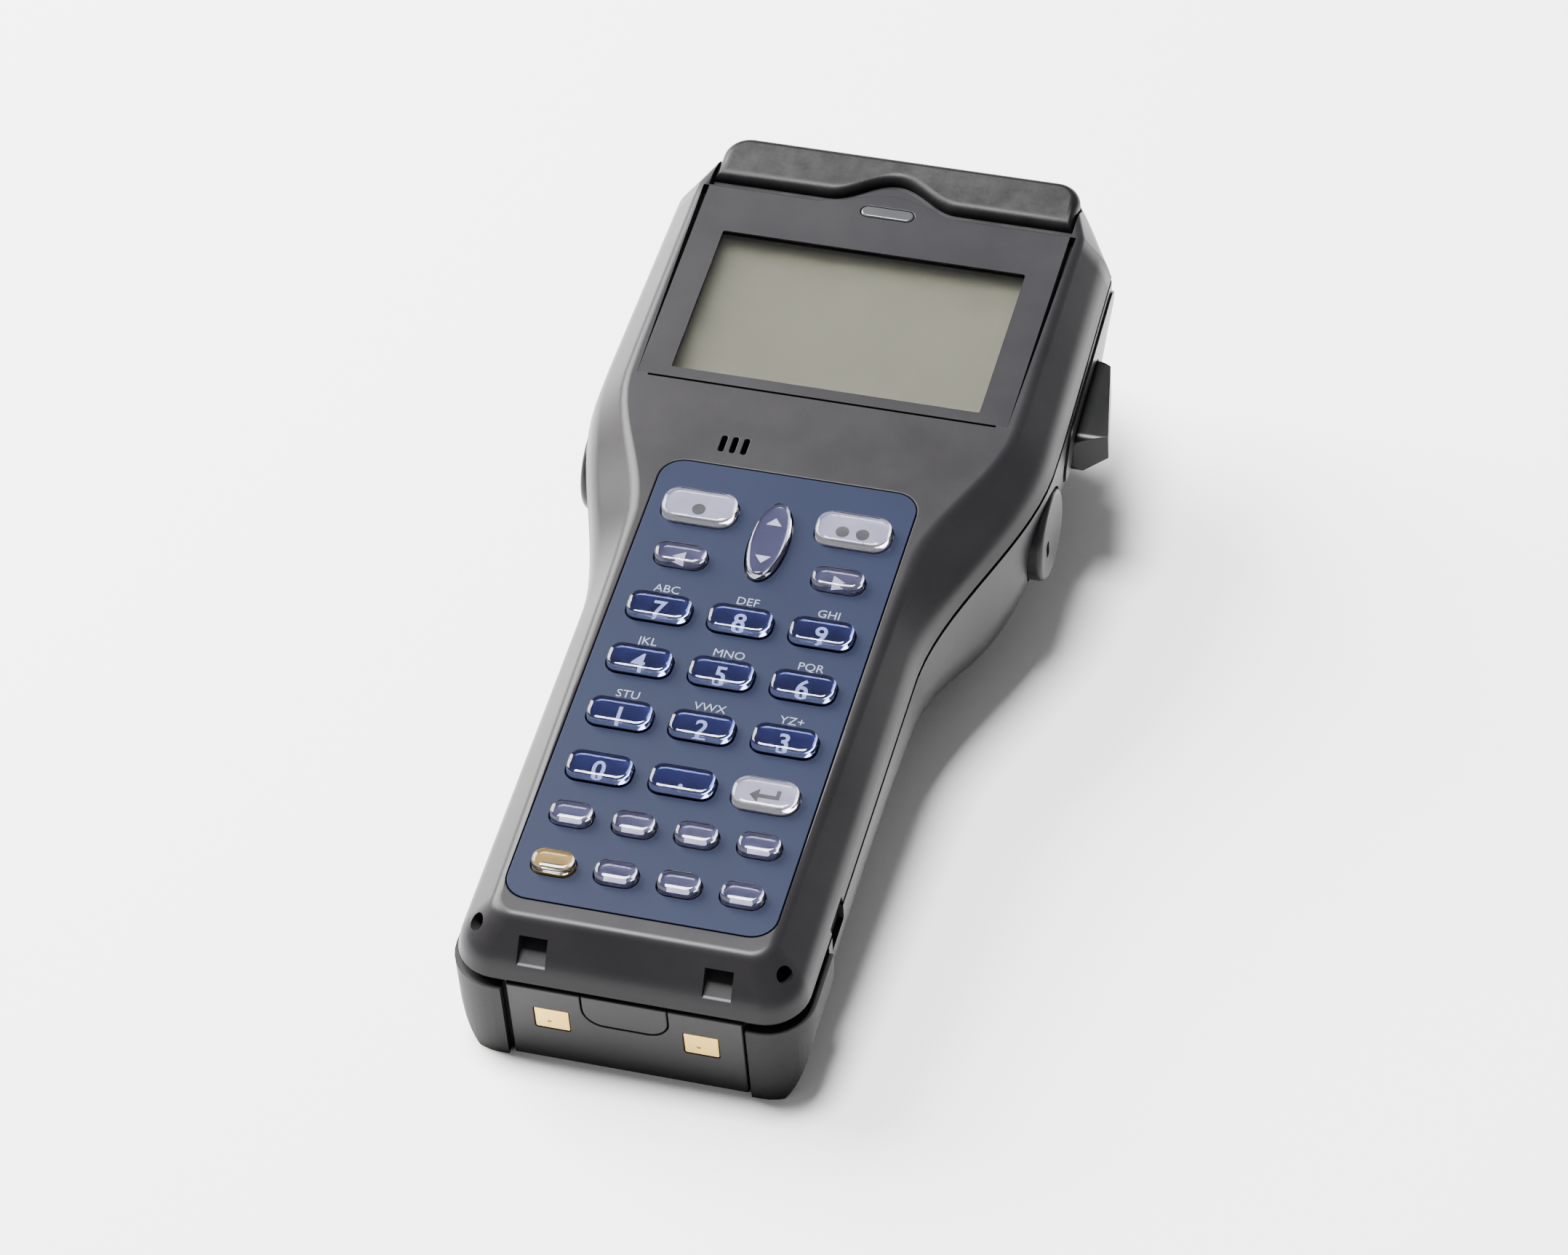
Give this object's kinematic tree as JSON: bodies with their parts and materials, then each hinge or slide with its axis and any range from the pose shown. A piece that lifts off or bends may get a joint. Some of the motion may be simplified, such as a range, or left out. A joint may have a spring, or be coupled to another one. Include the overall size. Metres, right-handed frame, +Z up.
{
  "type": "handheld data terminal",
  "caption": "Handheld keypad data terminal with a recessed display, side triggers, a scan window in its head and a slide-out battery pack with charging contacts.",
  "frame": {"origin": "bottom centre of the bounding box, on the table the terminal lies on", "axes": "+Z up from the table, +Y from the lower end towards the head, +X to the right of a user who looks at the keys; the key face rises towards the head by 7.1 degrees"},
  "size_m": [0.077, 0.1596, 0.0439],
  "materials": {
    "case_plastic": "fine moulded texture, satin",
    "bezel_plastic": "satin",
    "keypad_film": "matte printed film",
    "key_navy": "glossy translucent",
    "key_clear": "glossy translucent",
    "key_smoke": "glossy translucent",
    "key_amber": "glossy translucent",
    "black_rubber": "matte, dusty",
    "trigger_plastic": "satin",
    "clear_window": "clear, hard coated",
    "lcd_glass": "grey-green reflective liquid crystal panel",
    "lens_plastic": "frosted light guide",
    "silicone": "matte",
    "circuit_board": "solder mask",
    "tinned_steel": "bright",
    "screw_steel": "black oxide",
    "gold_contact": "gold plated",
    "pack_plastic": "fine moulded texture",
    "cell_wrap": "shrink wrapped cell",
    "scan_window": "red tinted, polished"
  },
  "bodies": {
    "handset": {"front_case": "case_plastic", "rear_case": "case_plastic", "strap_anchor_left": "case_plastic", "strap_anchor_right": "case_plastic", "case_gasket": "black_rubber", "head_bumper": "black_rubber", "side_panel_left": "case_plastic", "side_panel_right": "case_plastic", "corner_guard_left": "black_rubber", "corner_guard_right": "black_rubber", "display_bezel": "bezel_plastic", "display_window": "clear_window", "lcd_module": "lcd_glass", "status_lens": "lens_plastic", "keypad_panel": "keypad_film", "key_mat": "silicone", "key_board": "circuit_board", "main_board": "circuit_board", "shield_can": "tinned_steel", "scan_engine": "pack_plastic", "scan_window": "scan_window", "buzzer": "trigger_plastic", "trigger_switch_left": "tinned_steel", "trigger_switch_right": "tinned_steel", "case_screw_1": "screw_steel", "case_screw_2": "screw_steel", "case_screw_3": "screw_steel", "case_screw_4": "screw_steel"},
    "key_m1": {"key_m1": "key_clear"},
    "key_m2": {"key_m2": "key_clear"},
    "key_left": {"key_left": "key_smoke"},
    "key_right": {"key_right": "key_smoke"},
    "key_0": {"key_0": "key_navy"},
    "key_point": {"key_point": "key_navy"},
    "key_enter": {"key_enter": "key_clear"},
    "key_1": {"key_1": "key_navy"},
    "key_2": {"key_2": "key_navy"},
    "key_3": {"key_3": "key_navy"},
    "key_4": {"key_4": "key_navy"},
    "key_5": {"key_5": "key_navy"},
    "key_6": {"key_6": "key_navy"},
    "key_7": {"key_7": "key_navy"},
    "key_8": {"key_8": "key_navy"},
    "key_9": {"key_9": "key_navy"},
    "key_f1": {"key_f1": "key_smoke"},
    "key_f2": {"key_f2": "key_smoke"},
    "key_f3": {"key_f3": "key_smoke"},
    "key_f4": {"key_f4": "key_smoke"},
    "key_power": {"key_power": "key_amber"},
    "key_shift": {"key_shift": "key_smoke"},
    "key_back": {"key_back": "key_smoke"},
    "key_clear": {"key_clear": "key_smoke"},
    "rocker_key": {"rocker_key": "key_smoke"},
    "trigger_left": {"trigger_left": "trigger_plastic"},
    "trigger_right": {"trigger_right": "trigger_plastic"},
    "battery_pack": {"battery_case": "pack_plastic", "battery_cell": "cell_wrap", "charge_contact_left": "gold_contact", "charge_contact_right": "gold_contact"},
    "battery_latch": {"battery_latch": "pack_plastic"}
  },
  "joints": [
    {"name": "key_m1_press", "type": "slide", "parent": "handset", "child": "key_m1", "axis": [0, 0.124, -0.9923], "range_m": [0, 0.0007], "stiffness_N_per_m": 1200, "springref_m": -0.0002},
    {"name": "key_m2_press", "type": "slide", "parent": "handset", "child": "key_m2", "axis": [0, 0.124, -0.9923], "range_m": [0, 0.0007], "stiffness_N_per_m": 1200, "springref_m": -0.0002},
    {"name": "key_left_press", "type": "slide", "parent": "handset", "child": "key_left", "axis": [0, 0.124, -0.9923], "range_m": [0, 0.0007], "stiffness_N_per_m": 1200, "springref_m": -0.0002},
    {"name": "key_right_press", "type": "slide", "parent": "handset", "child": "key_right", "axis": [0, 0.124, -0.9923], "range_m": [0, 0.0007], "stiffness_N_per_m": 1200, "springref_m": -0.0002},
    {"name": "key_0_press", "type": "slide", "parent": "handset", "child": "key_0", "axis": [0, 0.124, -0.9923], "range_m": [0, 0.0007], "stiffness_N_per_m": 1200, "springref_m": -0.0002},
    {"name": "key_point_press", "type": "slide", "parent": "handset", "child": "key_point", "axis": [0, 0.124, -0.9923], "range_m": [0, 0.0007], "stiffness_N_per_m": 1200, "springref_m": -0.0002},
    {"name": "key_enter_press", "type": "slide", "parent": "handset", "child": "key_enter", "axis": [0, 0.124, -0.9923], "range_m": [0, 0.0007], "stiffness_N_per_m": 1200, "springref_m": -0.0002},
    {"name": "key_1_press", "type": "slide", "parent": "handset", "child": "key_1", "axis": [0, 0.124, -0.9923], "range_m": [0, 0.0007], "stiffness_N_per_m": 1200, "springref_m": -0.0002},
    {"name": "key_2_press", "type": "slide", "parent": "handset", "child": "key_2", "axis": [0, 0.124, -0.9923], "range_m": [0, 0.0007], "stiffness_N_per_m": 1200, "springref_m": -0.0002},
    {"name": "key_3_press", "type": "slide", "parent": "handset", "child": "key_3", "axis": [0, 0.124, -0.9923], "range_m": [0, 0.0007], "stiffness_N_per_m": 1200, "springref_m": -0.0002},
    {"name": "key_4_press", "type": "slide", "parent": "handset", "child": "key_4", "axis": [0, 0.124, -0.9923], "range_m": [0, 0.0007], "stiffness_N_per_m": 1200, "springref_m": -0.0002},
    {"name": "key_5_press", "type": "slide", "parent": "handset", "child": "key_5", "axis": [0, 0.124, -0.9923], "range_m": [0, 0.0007], "stiffness_N_per_m": 1200, "springref_m": -0.0002},
    {"name": "key_6_press", "type": "slide", "parent": "handset", "child": "key_6", "axis": [0, 0.124, -0.9923], "range_m": [0, 0.0007], "stiffness_N_per_m": 1200, "springref_m": -0.0002},
    {"name": "key_7_press", "type": "slide", "parent": "handset", "child": "key_7", "axis": [0, 0.124, -0.9923], "range_m": [0, 0.0007], "stiffness_N_per_m": 1200, "springref_m": -0.0002},
    {"name": "key_8_press", "type": "slide", "parent": "handset", "child": "key_8", "axis": [0, 0.124, -0.9923], "range_m": [0, 0.0007], "stiffness_N_per_m": 1200, "springref_m": -0.0002},
    {"name": "key_9_press", "type": "slide", "parent": "handset", "child": "key_9", "axis": [0, 0.124, -0.9923], "range_m": [0, 0.0007], "stiffness_N_per_m": 1200, "springref_m": -0.0002},
    {"name": "key_f1_press", "type": "slide", "parent": "handset", "child": "key_f1", "axis": [0, 0.124, -0.9923], "range_m": [0, 0.0007], "stiffness_N_per_m": 1200, "springref_m": -0.0002},
    {"name": "key_f2_press", "type": "slide", "parent": "handset", "child": "key_f2", "axis": [0, 0.124, -0.9923], "range_m": [0, 0.0007], "stiffness_N_per_m": 1200, "springref_m": -0.0002},
    {"name": "key_f3_press", "type": "slide", "parent": "handset", "child": "key_f3", "axis": [0, 0.124, -0.9923], "range_m": [0, 0.0007], "stiffness_N_per_m": 1200, "springref_m": -0.0002},
    {"name": "key_f4_press", "type": "slide", "parent": "handset", "child": "key_f4", "axis": [0, 0.124, -0.9923], "range_m": [0, 0.0007], "stiffness_N_per_m": 1200, "springref_m": -0.0002},
    {"name": "key_power_press", "type": "slide", "parent": "handset", "child": "key_power", "axis": [0, 0.124, -0.9923], "range_m": [0, 0.0007], "stiffness_N_per_m": 1200, "springref_m": -0.0002},
    {"name": "key_shift_press", "type": "slide", "parent": "handset", "child": "key_shift", "axis": [0, 0.124, -0.9923], "range_m": [0, 0.0007], "stiffness_N_per_m": 1200, "springref_m": -0.0002},
    {"name": "key_back_press", "type": "slide", "parent": "handset", "child": "key_back", "axis": [0, 0.124, -0.9923], "range_m": [0, 0.0007], "stiffness_N_per_m": 1200, "springref_m": -0.0002},
    {"name": "key_clear_press", "type": "slide", "parent": "handset", "child": "key_clear", "axis": [0, 0.124, -0.9923], "range_m": [0, 0.0007], "stiffness_N_per_m": 1200, "springref_m": -0.0002},
    {"name": "rocker_key_tilt", "type": "hinge", "parent": "handset", "child": "rocker_key", "pos_m": [-0.00155, -0.00197, 0.03189], "axis": [1, 0, 0], "range_deg": [-4, 4], "stiffness_Nm_per_rad": 0.045},
    {"name": "trigger_left_press", "type": "slide", "parent": "handset", "child": "trigger_left", "axis": [1, 0, 0], "range_m": [0, 0.0015], "stiffness_N_per_m": 1500, "springref_m": -0.0003},
    {"name": "trigger_right_press", "type": "slide", "parent": "handset", "child": "trigger_right", "axis": [-1, 0, 0], "range_m": [0, 0.0015], "stiffness_N_per_m": 1500, "springref_m": -0.0003},
    {"name": "battery_pack_slide", "type": "slide", "parent": "handset", "child": "battery_pack", "axis": [0, -0.9923, -0.124], "range_m": [0, 0.04]},
    {"name": "battery_latch_press", "type": "slide", "parent": "battery_pack", "child": "battery_latch", "axis": [0, 0.9923, 0.124], "range_m": [0, 0.0008], "stiffness_N_per_m": 1500, "springref_m": -0.0003}
  ]
}
